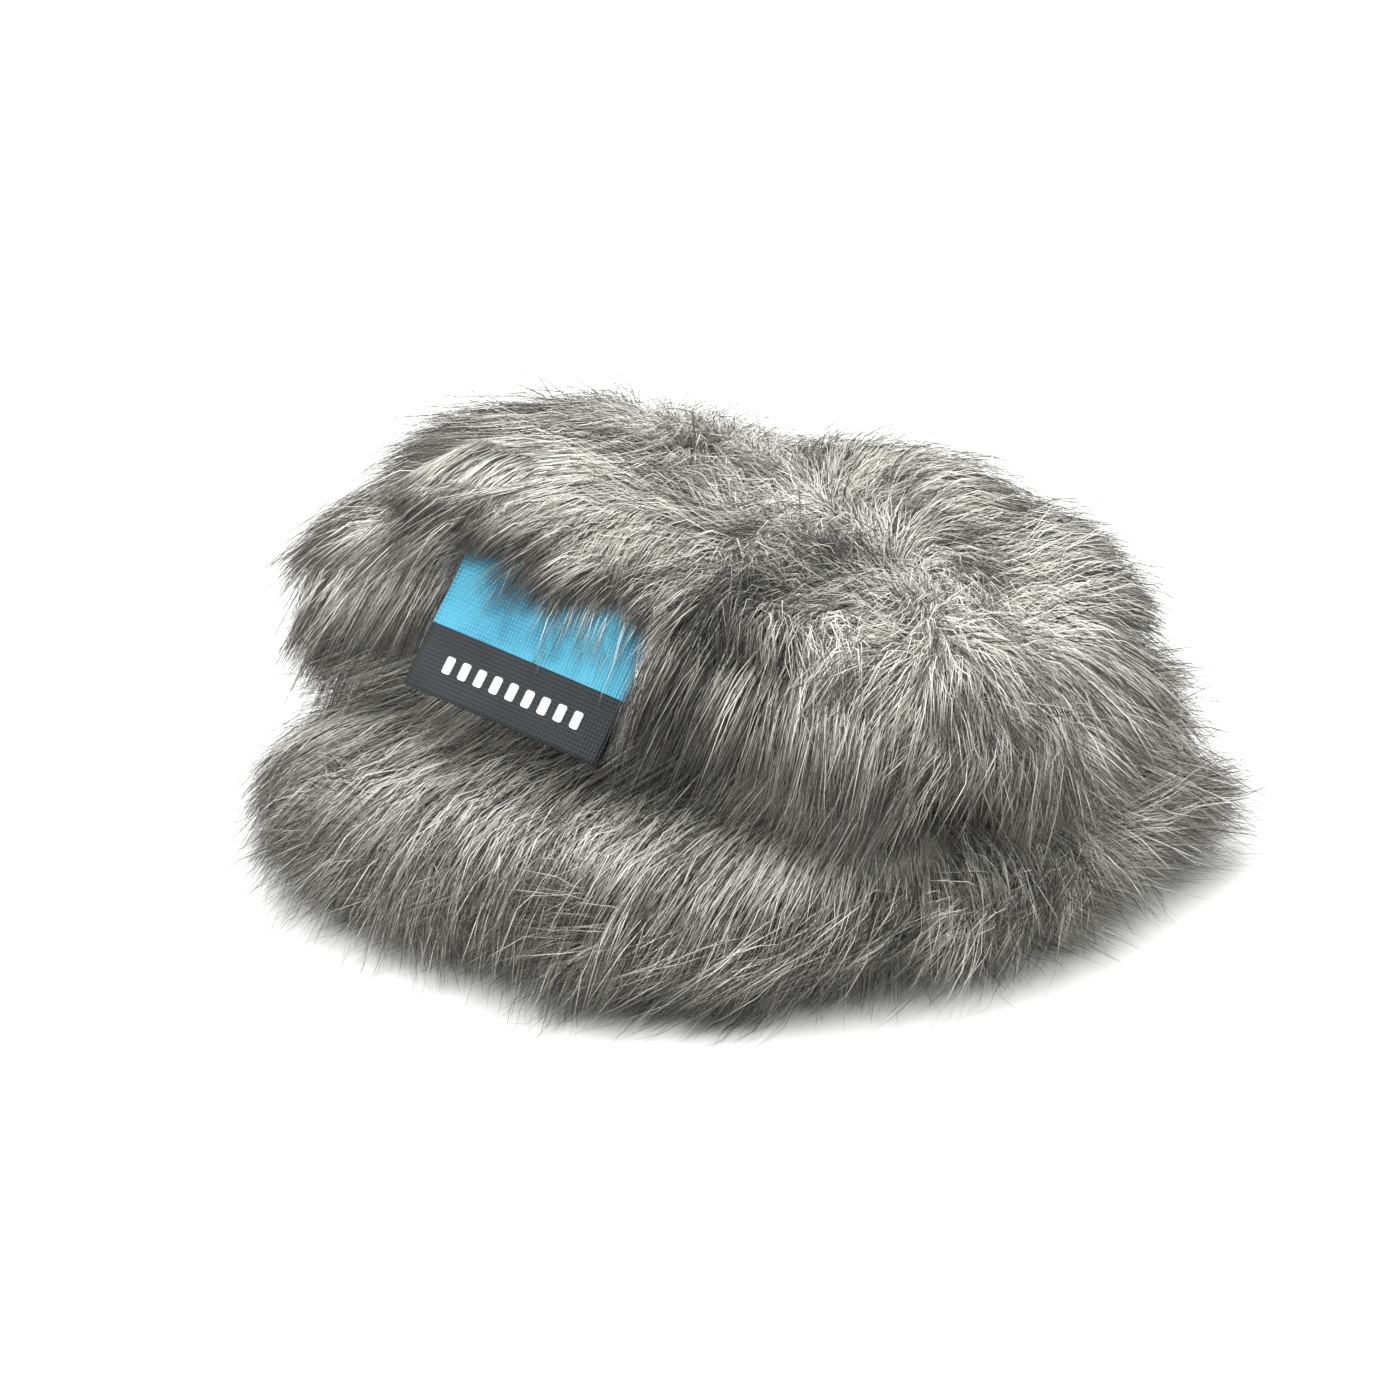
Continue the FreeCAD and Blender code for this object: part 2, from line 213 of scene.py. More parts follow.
# moulded nylon and lacquered zinc: smooth, with a faint orange peel and handling marks
def makeSmooth(name, dark, light, roughness, metallic=0.0):
    material, tree, shader = startMaterial(name, {"Metallic": metallic})
    space = addNode(tree, "ShaderNodeTexCoord")
    wear = addNode(tree, "ShaderNodeTexNoise", {"Scale": 1 / 0.002, "Detail": 4.0},
                   {"Vector": space.outputs["Object"]})
    colour = setRamp(addNode(tree, "ShaderNodeValToRGB", {}, {"Fac": wear.outputs["Fac"]}), [
        (0.35, dark), (0.7, light)])
    gloss = addNode(tree, "ShaderNodeMapRange", {"To Min": roughness - 0.08, "To Max": roughness + 0.12},
                    {"Value": wear.outputs["Fac"]})
    bump = addNode(tree, "ShaderNodeBump", {"Strength": 0.15, "Distance": 0.0001},
                   {"Height": wear.outputs["Fac"]})
    tree.links.new(colour.outputs["Color"], shader.inputs["Base Color"])
    tree.links.new(gloss.outputs["Result"], shader.inputs["Roughness"])
    tree.links.new(bump.outputs["Normal"], shader.inputs["Normal"])
    return material


guardHair = makeGuardHair()
undercoat = makeUndercoat()
knitBacking = makeKnitBacking()
labelTurquoise = makeWoven("satinWovenTurquoise", "#136c8b", "#4fb0ca", 0.8, 0.5, 0.1, 0.6)
labelCharcoal = makeWoven("satinWovenCharcoal", "#05080a", "#1b2226", 0.8, 0.62, 0.0, 0.6)
labelWhite = makeWoven("satinStitchedWhite", "#b9bdbd", "#f4f6f6", 0.8, 0.5, 0.2, 0.7)
twillTape = makeWoven("polyesterTwillTape", "#17181a", "#2c2e31", 0.8, 0.8)
grosgrain = makeWoven("ribbedGrosgrain", "#141517", "#292b2f", 1.0, 0.75, 0.3, 0.9)
spunThread = makeWoven("spunPolyesterThread", "#34353a", "#55575c", 0.3, 0.7)
nylonCoil = makeSmooth("extrudedNylonCoil", "#0c0d0f", "#1b1d20", 0.35)
blackZinc = makeSmooth("lacqueredZinc", "#101113", "#232427", 0.32, 0.6)

nodeFinishes = {
    "nose_seam_tape": twillTape, "lower_seam_tape": twillTape, "upper_seam_tape": twillTape,
    "hem_binding": grosgrain, "hem_elastic": twillTape, "hem_stitching": spunThread,
    "zip_tape_upper": twillTape, "zip_tape_lower": twillTape,
    "zip_stitching_upper": spunThread, "zip_stitching_lower": spunThread,
    "zip_coil_upper": nylonCoil, "zip_coil_lower": nylonCoil, "zip_top_stops": blackZinc,
    "zip_bottom_stop": nylonCoil, "zip_slider": blackZinc, "zip_pull": blackZinc,
    "label_stitching": spunThread,
}
for nodeName, finish in nodeFinishes.items():
    node = frame["nodes"][nodeName]
    for materialSlot in node.material_slots:
        materialSlot.material = finish
print("materials made")


# the sleeve: one flat tube that runs nose, fold, mouth
sleeve = {
    "noseY": noseLow.y + 0.030,       # tip of the nose, under its pile
    "hemY": hemLow.y,                 # edge of the mouth
    "noseDepth": 0.062,               # how long the nose takes to round off
    "halfWidth": 0.090,               # undercoat, from the middle to the side
    "halfThick": 0.0135,              # undercoat, from the middle of the layer up or down
    "loft": 0.0015,                   # how much higher the top of the upper layer stands
    # where the top stands higher or lower: x, y, how much, over what radius
    "rises": [(-0.070, 0.020, 0.0040, 0.050), (-0.092, -0.046, -0.0040, 0.032),
              (0.080, 0.060, -0.0020, 0.050), (-0.040, 0.100, -0.0050, 0.045),
              (-0.030, -0.030, 0.0085, 0.030)],       # the last one is behind the label
    "sag": 0.0110,                    # how far the right back of the upper layer has settled
    "squareness": 0.55,               # 1 is an oval section, 0 a box
    "liningHalfWidth": 0.0785,
    "liningHalfThick": 0.0051,
    "hemLiningHalfWidth": 0.0815,     # room for the binding
    "hemLiningHalfThick": 0.0074,
    "backing": 0.0015,                # thickness of the knit
    "rumple": 0.0035,
    "partingFloor": 0.0806,           # how far out the floor of the zip's parting lies
    # shares of the outline: where a skin starts to be drawn in, and the most it reaches
    "outerShare": (0.80, 0.93), "innerShare": (0.80, 0.90),
    "noseTurn": 0.012,                # cloth that the rounding of the nose takes up
    "bendInset": 0.022,               # how far inside each layer the bend begins
    "stationsLower": 58, "stationsFold": 22, "stationsUpper": 46, "around": 96,
}
# plan outlines that the pile reaches, from the left round the front to the back left
outlineMiddle = np.array((-0.005, 0.0))
lowerOutline = [(-0.112, 0.010), (-0.110, -0.040), (-0.094, -0.082), (-0.052, -0.103), (-0.010, -0.106),
                (0.024, -0.097), (0.052, -0.080), (0.078, -0.051), (0.095, -0.018), (0.104, 0.027),
                (0.109, 0.056), (0.094, 0.082), (0.045, 0.097), (-0.011, 0.099), (-0.060, 0.097),
                (-0.104, 0.076)]
upperOutline = [(-0.113, 0.030), (-0.107, -0.012), (-0.092, -0.046), (-0.060, -0.068), (-0.010, -0.073),
                (0.045, -0.072), (0.085, -0.053), (0.099, -0.022), (0.092, 0.027), (0.086, 0.054),
                (0.072, 0.074), (0.040, 0.090), (-0.011, 0.095), (-0.060, 0.094), (-0.104, 0.074)]
bendRadius = upperMid - foldZ
lowerRun = foldY - sleeve["noseY"]
foldRun = math.pi * bendRadius
upperRun = foldY - sleeve["hemY"]


def waves(points, size, seed):
    # smooth noise from a few crossed sine waves, about -1 to 1, with bumps of the given size
    draw = np.random.default_rng(seed)
    total = np.zeros(len(points))
    for i in range(6):
        direction = draw.normal(size=3)
        direction /= np.linalg.norm(direction)
        reach = size * draw.uniform(0.6, 1.6)
        total += np.sin(points @ direction * (fullTurn / reach) + draw.uniform(0, fullTurn))
    return total / 3.0


def ramp(values, start, run):
    # 0 up to the start, 1 from a run past it
    return np.clip((values - start) / run, 0, 1)


def nearness(points, x, y, reach):
    # 1 at a place in plan, fading away round it
    return np.exp(-((points[..., 0] - x) ** 2 + (points[..., 1] - y) ** 2) / reach ** 2)


def rise(points):
    total = np.zeros(points.shape[:-1])
    for x, y, much, reach in sleeve["rises"]:
        total += much * nearness(points, x, y, reach)
    return total


def rightBack(points):
    # 1 at the right and the back of the cover, where nothing stiff is in it
    return ramp(points[..., 0], 0.012, 0.055) * ramp(points[..., 1], -0.016, 0.030)


def settled(points):
    # the upper layer lies lower to the right and at the fold
    right = rightBack(points)
    back = ramp(points[..., 1], 0.058, 0.030) * 0.85
    high = ramp(points[..., 2], foldZ, 0.020)
    much = np.maximum(right * right * (3 - 2 * right), back) * high
    points[..., 2] -= much * sleeve["sag"]
    return points


def outlineShare(points, outline):
    # 1 on a plan outline, less inside it; the outline is a ring of points round its middle
    ring = np.array(outline) - outlineMiddle
    turn = np.arctan2(ring[:, 1], ring[:, 0])
    order = np.argsort(turn)
    plan = points[..., :2] - outlineMiddle
    reach = np.interp(np.arctan2(plan[..., 1], plan[..., 0]), turn[order],
                      np.linalg.norm(ring[order], axis=1), period=2 * math.pi)
    return np.linalg.norm(plan, axis=-1) / reach


def reachShare(points):
    # the lower outline near the table, the upper one near the top
    upward = np.clip((points[..., 2] - foldZ) / 0.040 + 0.5, 0, 1)
    return outlineShare(points, lowerOutline) * (1 - upward) + outlineShare(points, upperOutline) * upward


def drawnIn(points, start, limit):
    # a skin kept inside the outline, easing off from one share of it to another
    share = np.maximum(reachShare(points), 1e-6)
    held = start + (limit - start) * (1 - np.exp(-np.maximum(share - start, 0) / (limit - start)))
    squeeze = np.where(share > start, held / share, 1)
    points[:, :2] = outlineMiddle + (points[:, :2] - outlineMiddle) * squeeze[:, None]
    return points


def unit(vectors):
    return vectors / np.maximum(np.linalg.norm(vectors, axis=-1, keepdims=True), 1e-9)


def along(s):
    # centre line of the sleeve and its outward direction in the YZ plane, at path lengths s
    s = np.asarray(s, float)
    angle = np.clip((s - lowerRun) / bendRadius, 0, math.pi)
    past = np.maximum(s - lowerRun - foldRun, 0)
    y = np.where(s < lowerRun, sleeve["noseY"] + s, foldY + bendRadius * np.sin(angle) - past)
    z = foldZ - bendRadius * np.cos(angle)
    outward = np.stack([np.zeros_like(s), np.sin(angle), -np.cos(angle)], -1)
    return np.stack([np.zeros_like(s), y, z], -1), outward


def section(s, theta, halfWidth, halfThick):
    # a point of a flattened tube's skin; theta 90 degrees is the outside of the fold
    centre, outward = along(s)
    power = sleeve["squareness"]
    c, n = np.cos(theta), np.sin(theta)
    x = np.sign(c) * np.abs(c) ** power * halfWidth
    t = np.sign(n) * np.abs(n) ** (power * 1.25) * halfThick
    points = centre + outward * t[..., None]
    points[..., 0] += x
    return points


def closing(s, power=2.4):
    # 0 at the tip of the nose, 1 where the sleeve has its full section
    d = np.clip(s / sleeve["noseDepth"], 0, 1)
    return (1 - (1 - d) ** power) ** (1 / power)


def parting(points):
    # 1 inside the parting of the pile along the zip, 0 away from it
    middle = (zipLow.y + zipHigh.y) / 2
    reach = (zipHigh.y - zipLow.y) / 2 + 0.020
    onSide = points[:, 0] < -0.06
    offZ = np.abs(points[:, 2] - upperMid) / 0.0075
    offY = np.abs(points[:, 1] - middle) / reach
    return np.where(onSide & (offY < 1), np.clip(1.35 - offZ, 0, 1), 0)


def outerSkin(s, theta):
    # the undercoat's surface: puffy, rumpled, rounded off at the nose, parted along the zip
    s, theta = np.broadcast_arrays(s, theta)
    shape = s.shape
    s, theta = s.ravel(), theta.ravel()
    close = closing(s)
    width = sleeve["halfWidth"] * (0.30 + 0.70 * close) * np.where(s < 1e-6, 0.0, 1.0)
    thick = sleeve["halfThick"] * close
    hemEnd = lowerRun + foldRun + upperRun
    thick = thick * (1 + 0.10 * np.clip((hemEnd - s) / 0.03, 0, 1))
    top = ramp(s - lowerRun, foldRun * 0.6, 0.05) * (np.sin(theta) > 0)
    points = section(s, theta, width * close ** 0.5, thick + top * sleeve["loft"])
    points[:, 2] += top * rise(points) * np.sin(theta).clip(0, 1) ** 0.5
    centre = along(s)[0]
    push = waves(points, 0.055, 4) * sleeve["rumple"] * close
    away = unit(points - centre)
    points = points + away * push[:, None]
    points = drawnIn(points, *sleeve["outerShare"])
    part = parting(points)
    points[:, 0] = points[:, 0] * (1 - part) - sleeve["partingFloor"] * part
    return settled(points).reshape(shape + (3,))


def innerSkin(s, theta):
    # the knitted inside, pushed out at the hem to leave room for the binding
    s, theta = np.broadcast_arrays(s, theta)
    shape = s.shape
    s, theta = s.ravel(), theta.ravel()
    hemEnd = lowerRun + foldRun + upperRun
    hem = ramp(s, hemEnd - (hemHigh.y - hemLow.y) - 0.001, 0.001)
    close = closing(np.maximum(s - 0.010, 0))
    width = sleeve["liningHalfWidth"] * close ** 1.5 * (1 - hem) + sleeve["hemLiningHalfWidth"] * hem
    thick = sleeve["liningHalfThick"] * close * (1 - hem) + sleeve["hemLiningHalfThick"] * hem
    points = section(s, theta, width, thick)
    atFold = ramp(points[:, 1], 0.045, 0.020)
    start, limit = sleeve["innerShare"]
    drawn = drawnIn(points.copy(), start - 0.12 * atFold, limit - 0.06 * atFold)
    points = np.where((hem > 0)[:, None], points, drawn)
    return settled(points).reshape(shape + (3,))


def meshFrom(name, points, faces, materials, faceMaterials=None, uv=None):
    mesh = bpy.data.meshes.new(name)
    mesh.from_pydata([tuple(p) for p in points], [], [tuple(f) for f in faces])
    for material in materials:
        mesh.materials.append(material)
    if faceMaterials is not None:
        mesh.polygons.foreach_set("material_index", np.asarray(faceMaterials, np.int32))
    mesh.polygons.foreach_set("use_smooth", np.ones(len(mesh.polygons), bool))
    if uv is not None:
        layer = mesh.uv_layers.new(name="weave")
        loops = np.zeros(len(mesh.loops), np.int32)
        mesh.loops.foreach_get("vertex_index", loops)
        layer.data.foreach_set("uv", np.asarray(uv, np.float32)[loops].ravel())
    mesh.update()
    piece = bpy.data.objects.new(name, mesh)
    bpy.context.scene.collection.objects.link(piece)
    return piece


def skinPiece(name, s0, s1, stations, openStart):
    # a stretch of the sleeve's fabric as one closed skin: undercoat outside, knit inside
    count = sleeve["around"]
    theta = np.linspace(0, 2 * math.pi, count, endpoint=False)
    s = np.linspace(s0, s1, stations)
    if not openStart:
        ease = np.linspace(0, 1, stations) ** 1.6
        s = s0 + (s1 - s0) * ease
    outer = outerSkin(s[:, None], theta[None, :])
    innerS = np.maximum(s, 0.011) if not openStart else s
    inner = innerSkin(innerS[:, None], theta[None, :])
    points = np.concatenate([outer.reshape(-1, 3), inner.reshape(-1, 3)])
    faces, kinds = [], []
    shift = stations * count
    for i in range(stations - 1):
        for j in range(count):
            k = (j + 1) % count
            a, b, c, d = i * count + j, i * count + k, (i + 1) * count + k, (i + 1) * count + j
            faces.append((a, b, c, d))
            kinds.append(0)
            faces.append((shift + d, shift + c, shift + b, shift + a))
            kinds.append(1)
    for row in ([0] if openStart else []) + [stations - 1]:
        for j in range(count):
            k = (j + 1) % count
            a, b = row * count + j, row * count + k
            quad = (a, shift + a, shift + b, b) if row == 0 else (b, shift + b, shift + a, a)
            faces.append(quad)
            kinds.append(0)
    piece = meshFrom(name, points, faces, [undercoat, knitBacking], kinds)
    piece.data.validate()
    return piece


foldStart, foldEnd = lowerRun, lowerRun + foldRun
pathEnd = foldEnd + upperRun
noseFabric = skinPiece("noseHalfFabric", 0.0, foldStart, sleeve["stationsLower"], False)
foldFabric = skinPiece("foldFabric", foldStart, foldEnd, sleeve["stationsFold"], True)
mouthFabric = skinPiece("mouthHalfFabric", foldEnd, pathEnd, sleeve["stationsUpper"], True)
print("fabric made")


# the pile
pile = {
    "length": 0.038,
    "rootRadius": 0.000145,
    "nodes": 5,                       # points along a strand, with its root and its tip
    "strandsPerPiece": 8800,
    "upperStrands": 79000, "lowerStrands": 57000, "foldStrands": 21000, "hemStrands": 17000,
    "lockSpacing": 0.0042, "lockHold": 0.52, "lockPower": 1.5,
    "tuftSpacing": 0.0125, "tuftHold": 0.46, "tuftPower": 2.2,
    # wisps are the longest hairs, more than half of them dark
    "wispShare": 0.11, "wispLength": 1.38, "wispWidth": 0.7, "wispDark": 0.55,
    "darkShare": 0.18,                # of the other hairs
    # where hairs are cut off, as shares of the outline: mean, by tuft, by hair, furthest
    "edge": 0.990, "edgeByTuft": 0.036, "edgeByHair": 0.022, "furthest": 1.15,
    "floorGap": 0.0006, "layerGap": 0.0006,    # hair above the table; off the plane between layers
    # how far past the CAD box hair goes on top and on the zip side before it is pressed in
    "roomAbove": 0.006, "roomBeside": 0.006,
    "crownUpper": ((-0.052, 0.056), (0.040, 0.012)),   # the hair parts along these lines
    "crownLower": ((-0.040, 0.015), (0.040, 0.015)),
    "crownWave": 0.010,
    # places in plan and their radius: ruffled on top, most lifted, drooping least
    "ruffle": (0.058, -0.006, 0.044), "lifted": (-0.080, 0.045, 0.055), "stiffest": (-0.090, 0.045, 0.050),
    # darker tufts on top: x, y, radius
    "darkSpots": [(-0.071, 0.052, 0.016), (-0.030, 0.083, 0.020), (0.040, 0.000, 0.012),
                  (0.088, 0.058, 0.018), (0.010, 0.095, 0.014), (0.030, -0.030, 0.014)],
}


def scatter(rng, count, s0, s1, density):
    # random roots on the outer skin, even by area and weighted by density(points, normals)
    ns, nt = 160, 200
    s = np.linspace(s0, s1, ns + 1)
    theta = np.linspace(0, 2 * math.pi, nt + 1)
    grid = outerSkin(s[:, None], theta[None, :])
    du = grid[1:, :-1] - grid[:-1, :-1]
    dv = grid[:-1, 1:] - grid[:-1, :-1]
    cross = np.cross(dv, du)
    area = np.linalg.norm(cross, axis=-1)
    centres = (grid[1:, 1:] + grid[:-1, :-1]) / 2
    normals = unit(cross)
    weight = area * density(centres.reshape(-1, 3), normals.reshape(-1, 3)).reshape(area.shape)
    pick = rng.choice(area.size, size=count, p=(weight / weight.sum()).ravel())
    i, j = np.unravel_index(pick, area.shape)
    u, v = rng.random(count), rng.random(count)
    roots = grid[i, j] + du[i, j] * u[:, None] + dv[i, j] * v[:, None]
    return roots, normals[i, j]


def turned(vectors, angle):
    c, s = np.cos(angle), np.sin(angle)
    out = vectors.copy()
    out[:, 0] = vectors[:, 0] * c - vectors[:, 1] * s
    out[:, 1] = vectors[:, 0] * s + vectors[:, 1] * c
    return out


def partedFrom(roots, crown):
    # away from the nearest point of a wavering line, and how near that line is
    a, b = np.array(crown[0]), np.array(crown[1])
    plan = roots[:, :2] + np.stack([waves(roots, 0.05, 16), waves(roots, 0.05, 17)], -1) * pile["crownWave"]
    share = np.clip((plan - a) @ (b - a) / ((b - a) @ (b - a)), 0, 1)
    away = plan - (a + share[:, None] * (b - a))
    flow = np.concatenate([away, np.zeros((len(roots), 1))], axis=1)
    return unit(flow), np.exp(-(np.linalg.norm(away, axis=1) / 0.019) ** 2)


def combUpper(roots, normals):
    # outward from the crown in plan; ruffled at the crown and in one patch beside it
    flow, near = partedFrom(roots, pile["crownUpper"])
    turn = waves(roots, 0.060, 11) * 0.45
    ruffled = nearness(roots, *pile["ruffle"])
    mess = np.clip(ruffled + 0.9 * near, 0, 1) * (roots[:, 2] > upperMid)
    turn += mess * waves(roots, 0.026, 12) * 2.2
    return turned(flow, turn), mess


def combLower(roots, normals):
    flow = partedFrom(roots, pile["crownLower"])[0]
    return turned(flow, waves(roots, 0.070, 13) * 0.22), np.zeros(len(roots))


def combFold(roots, normals):
    # straight out from the fold, fanned at its ends
    flow = normals.copy()
    flow[:, 0] += np.clip(roots[:, 0] / 0.09, -1, 1) ** 3 * 0.6
    flow[:, 1] += 0.5
    return turned(unit(flow), waves(roots, 0.05, 14) * 0.35), np.zeros(len(roots))


def combHem(roots, normals):
    # over the edge of the mouth, fanned towards its ends
    flow = np.zeros_like(roots)
    flow[:, 0] = roots[:, 0] * 5 + waves(roots, 0.03, 15) * 0.2
    flow[:, 1] = -1.0
    return unit(flow), np.zeros(len(roots)) + 0.1


def growStrands(rng, roots, normals, comb, length, lift, droop, frizz):
    # each strand leaves the skin, bends over the way it is combed and droops
    count, nodes = len(roots), pile["nodes"]
    flat = comb - normals * np.sum(comb * normals, axis=1)[:, None]
    flat = np.where(np.linalg.norm(flat, axis=1)[:, None] > 0.15, unit(flat), unit(comb))
    line = np.zeros((nodes, count, 3))
    line[0] = roots - normals * 0.003
    step = length / (nodes - 1)
    wander = unit(rng.normal(size=(count, 3)))
    curl = unit(rng.normal(size=(count, 3)))
    for k in range(1, nodes):
        t = k / (nodes - 1)
        direction = normals * (lift * (1 - t) ** 1.3)[:, None] + flat * (0.35 + 0.9 * t)
        direction += wander * frizz[:, None] + curl * (frizz * math.sin(t * 6.0) * 0.6)[:, None]
        direction[:, 2] -= droop * t ** 1.2
        line[k] = line[k - 1] + unit(direction) * step[:, None]
    return line


def gather(rng, line, spacing, strength, power):
    # tips drift towards those of a nearby leader, as combed fur falls into locks
    nodes, count = line.shape[:2]
    cells = np.unique(np.floor(line[1] / spacing).astype(int), axis=0)
    leaders = min(count, max(20, len(cells)))
    chosen = rng.choice(count, leaders, replace=False)
    tree = KDTree(leaders)
    for n, c in enumerate(chosen):
        tree.insert(line[1, c], n)
    tree.balance()
    nearest = np.array([tree.find(p)[1] for p in line[1]])
    target = line[:, chosen[nearest], :].copy()
    hold = strength * rng.uniform(0.3, 1.0, count)
    for k in range(1, nodes):
        w = (hold * (k / (nodes - 1)) ** power)[:, None]
        line[k] = line[k] * (1 - w) + target[k] * w
    return line, chosen[nearest]


def strandTones(rng, roots, mess, tuft, wisps):
    # tone 0 is a near-black hair, 1 a white one
    count = len(roots)
    tone = rng.beta(3.5, 1.15, count) * 0.86 + 0.14
    tone += waves(roots, 0.050, 21) * 0.09 + waves(roots, 0.015, 22) * (0.07 + 0.10 * mess)
    tuftTone = rng.normal(0, 0.07, count)[tuft]
    dark = rng.random(count) < np.where(wisps, pile["wispDark"], pile["darkShare"])
    tone = np.where(dark, rng.uniform(0.0, 0.26, count), tone + tuftTone - mess * 0.03)
    for x, y, reach in pile["darkSpots"]:
        near = nearness(roots, x, y, reach) * (roots[:, 2] > foldZ)
        tone -= near * rng.uniform(0.2, 0.9, count)
    return np.clip(tone, 0.02, 0.98)


def trim(rng, line, wisps, tuft):
    # strands that reach past the outline are shorter, by tufts, so that its edge stays ragged
    count = line.shape[1]
    limit = pile["edge"] + rng.normal(0, pile["edgeByTuft"], count)[tuft]
    limit = limit + rng.normal(0, pile["edgeByHair"], count)
    limit = np.minimum(limit + wisps * rng.uniform(0.04, 0.13, count), pile["furthest"])
    root, tip = reachShare(line[0]), reachShare(line[-1])
    share = np.clip((limit - root) / np.maximum(tip - root, 1e-6), 0.30, 1)
    share = np.where(tip > limit, share, 1)
    return line[0] + (line - line[0]) * share[None, :, None]


def strandMesh(name, line, tone, radius):
    # closed three-sided strands that taper to a point
    nodes, count = line.shape[:2]
    direction = unit(line[-1] - line[0])
    side = unit(np.cross(direction, unit(np.random.default_rng(5).normal(size=(count, 3)))))
    other = unit(np.cross(direction, side))
    rings = nodes - 1
    taper = 1 - (np.arange(rings) / rings) ** 1.6 * 0.8
    corner = np.arange(3) * (2 * math.pi / 3)
    spoke = side[:, None, :] * np.cos(corner)[None, :, None]
    spoke = spoke + other[:, None, :] * np.sin(corner)[None, :, None]
    width = radius[None, :, None, None] * taper[:, None, None, None]
    body = line[:rings, :, None, :] + spoke[None] * width
    body = body.transpose(1, 0, 2, 3).reshape(count, rings * 3, 3)
    points = np.concatenate([body, line[-1][:, None, :]], axis=1)
    per = rings * 3 + 1
    quads, tris = [], [(2, 1, 0)]
    for r in range(rings - 1):
        for e in range(3):
            f = (e + 1) % 3
            quads.append((r * 3 + e, r * 3 + f, (r + 1) * 3 + f, (r + 1) * 3 + e))
    last = (rings - 1) * 3
    for e in range(3):
        tris.append((last + e, last + (e + 1) % 3, per - 1))
    starts = np.arange(count) * per
    quadLoops = (np.array(quads)[None] + starts[:, None, None]).reshape(count, -1)
    triLoops = (np.array(tris)[None] + starts[:, None, None]).reshape(count, -1)
    loops = np.concatenate([quadLoops, triLoops], axis=1)
    sizes = np.tile([4] * len(quads) + [3] * len(tris), count)
    mesh = bpy.data.meshes.new(name)
    mesh.vertices.add(count * per)
    mesh.vertices.foreach_set("co", points.astype(np.float32).ravel())
    mesh.loops.add(loops.size)
    mesh.loops.foreach_set("vertex_index", loops.astype(np.int32).ravel())
    mesh.polygons.add(len(sizes))
    mesh.polygons.foreach_set("loop_start", (np.cumsum(sizes) - sizes).astype(np.int32))
    mesh.polygons.foreach_set("use_smooth", np.ones(len(sizes), bool))
    mesh.update(calc_edges=True)
    # the finish is read from here: across is the strand's tone, up is the place along it
    layer = mesh.uv_layers.new(name="OFBake")
    height = np.concatenate([np.repeat(np.arange(rings), 3), [rings]]) / rings
    sway = np.concatenate([np.tile([-0.002, 0.0, 0.002], rings), [0.0]])
    local = loops - starts[:, None]
    uv = np.stack([tone[:, None] + sway[local], 0.01 + 0.98 * height[local]], -1)
    layer.data.foreach_set("uv", uv.astype(np.float32).ravel())
    mesh.materials.append(guardHair)
    piece = bpy.data.objects.new(name, mesh)
    bpy.context.scene.collection.objects.link(piece)
    return piece


def strandPieces(name, line, tone, radius):
    size = pile["strandsPerPiece"]
    made = []
    for first in range(0, len(tone), size):
        some = slice(first, first + size)
        pieceName = "%s.%02d" % (name, first // size + 1)
        made.append(strandMesh(pieceName, line[:, some], tone[some], radius[some]))
    return made


def softFloor(values, floor, keep=0.05):
    # past the floor only a share of the distance is kept
    return np.where(values < floor, floor + (values - floor) * keep, values)


def softCeiling(values, ceiling, keep=0.05):
    return np.where(values > ceiling, ceiling + (values - ceiling) * keep, values)


def labelFrame():
    # the label's own frame: it turns about X, hangs to -Y and faces up
    hinge = joints["label_flap"]
    right = -Vector(hinge["axis"]).normalized()
    low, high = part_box("woven_label")
    centre = (low + high) / 2
    hang = centre - Vector(hinge["pos_m"])
    hang = (hang - right * hang.dot(right)).normalized()
    facing = right.cross(-hang)
    turn = Matrix((right, -hang, facing)).transposed().to_4x4()
    return Matrix.Translation(Vector(hinge["pos_m"])) @ turn


labelMatrix = labelFrame()


def moved(points, matrix):
    turn = np.array(matrix)
    return points @ turn[:3, :3].T + turn[:3, 3]


overLabel = {
    "strands": 5200, "spacing": 0.0035, "hold": 0.40, "power": 1.6,
    # the ribbon's half width and free end with a little room, and how high hair is kept off
    "halfWidth": 0.0262, "roomyHalfWidth": 0.0275, "freeEnd": -0.046, "height": 0.040,
    "front": 0.0019, "back": -0.0022,      # hair lies before or behind the ribbon, not in it
    "lockX": -0.003,                       # one lock reaches further down than the rest
}


